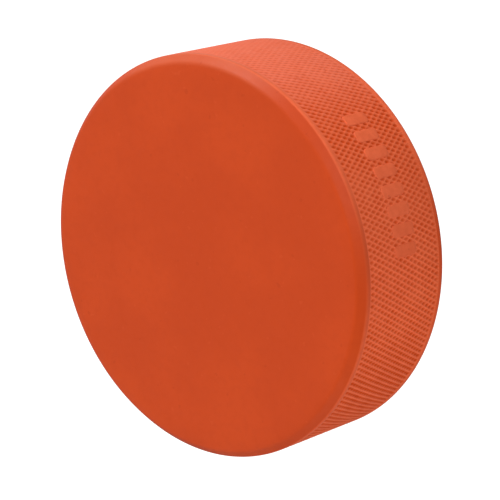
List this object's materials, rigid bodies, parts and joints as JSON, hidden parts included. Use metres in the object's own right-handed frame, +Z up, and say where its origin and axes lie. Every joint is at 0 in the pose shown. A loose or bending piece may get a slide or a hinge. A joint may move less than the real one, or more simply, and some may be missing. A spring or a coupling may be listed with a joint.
{
  "type": "hockey puck",
  "caption": "Regulation-size ice hockey puck in orange rubber: flat faces, bevelled edges, a finely knurled side band and a guessed steel weight inside.",
  "frame": {"origin": "centre of the lower flat face, which the puck lies on", "axes": "+Z up along the puck's axis of symmetry, from the lower face to the upper face; X and Y are any two square directions across the face"},
  "size_m": [0.0762, 0.0762, 0.0254],
  "materials": {
    "orange_rubber": "satin",
    "orange_rubber_knurled": "matte",
    "steel": "satin"
  },
  "bodies": {
    "root": {"top_face_cover": "orange_rubber", "bottom_face_cover": "orange_rubber", "knurled_band": "orange_rubber_knurled", "steel_core": "steel"}
  },
  "joints": []
}
